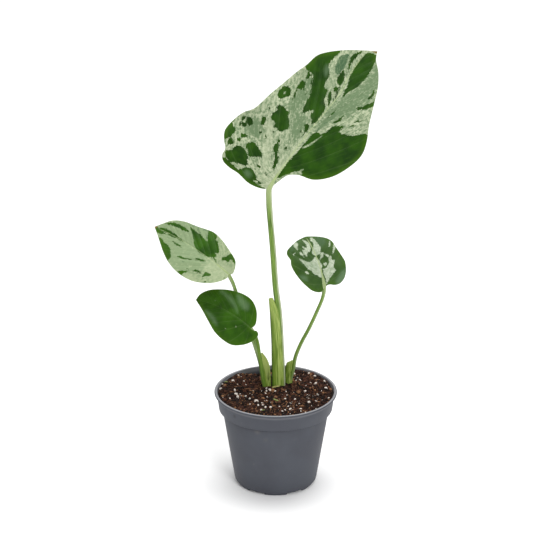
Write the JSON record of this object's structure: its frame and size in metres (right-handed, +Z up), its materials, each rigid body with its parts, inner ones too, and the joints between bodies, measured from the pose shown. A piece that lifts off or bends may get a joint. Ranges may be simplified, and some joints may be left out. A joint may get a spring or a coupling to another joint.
{
  "type": "potted monstera",
  "caption": "Young variegated monstera with broad heart-shaped leaves on sheathed stalks, in a plain round nursery pot filled with soil.",
  "frame": {"origin": "middle of the pot's underside, on its round gate pad, level with the feet", "axes": "+Z up through the plant, -Y towards the side the picture was taken from, +X to the right of that view"},
  "size_m": [0.2178, 0.1536, 0.423],
  "materials": {
    "pot_plastic": "matte slate-grey moulded polypropylene",
    "soil": "moist brown peat mix with fibres and white perlite",
    "root_stem": "pale brown fleshy stem and roots",
    "leaf_scale": "thin drying yellow-green scale",
    "tall_leaf": "semi-gloss leaf, cream and grey-green with dark green blotches",
    "left_leaf": "semi-gloss leaf, mostly cream with green patches",
    "green_leaf": "glossy plain dark green leaf",
    "right_leaf": "semi-gloss green leaf marbled with pale green",
    "leaf_stalk": "smooth fresh green stalk with paler strips"
  },
  "bodies": {
    "root": {"pot": "pot_plastic", "soil": "soil", "root_stem": "root_stem", "leaf_scale": "leaf_scale", "tall_leaf_blade": "tall_leaf", "tall_leaf_petiole": "leaf_stalk", "left_leaf_blade": "left_leaf", "left_leaf_petiole": "leaf_stalk", "green_leaf_blade": "green_leaf", "green_leaf_petiole": "leaf_stalk", "right_leaf_blade": "right_leaf", "right_leaf_petiole": "leaf_stalk"}
  },
  "joints": []
}
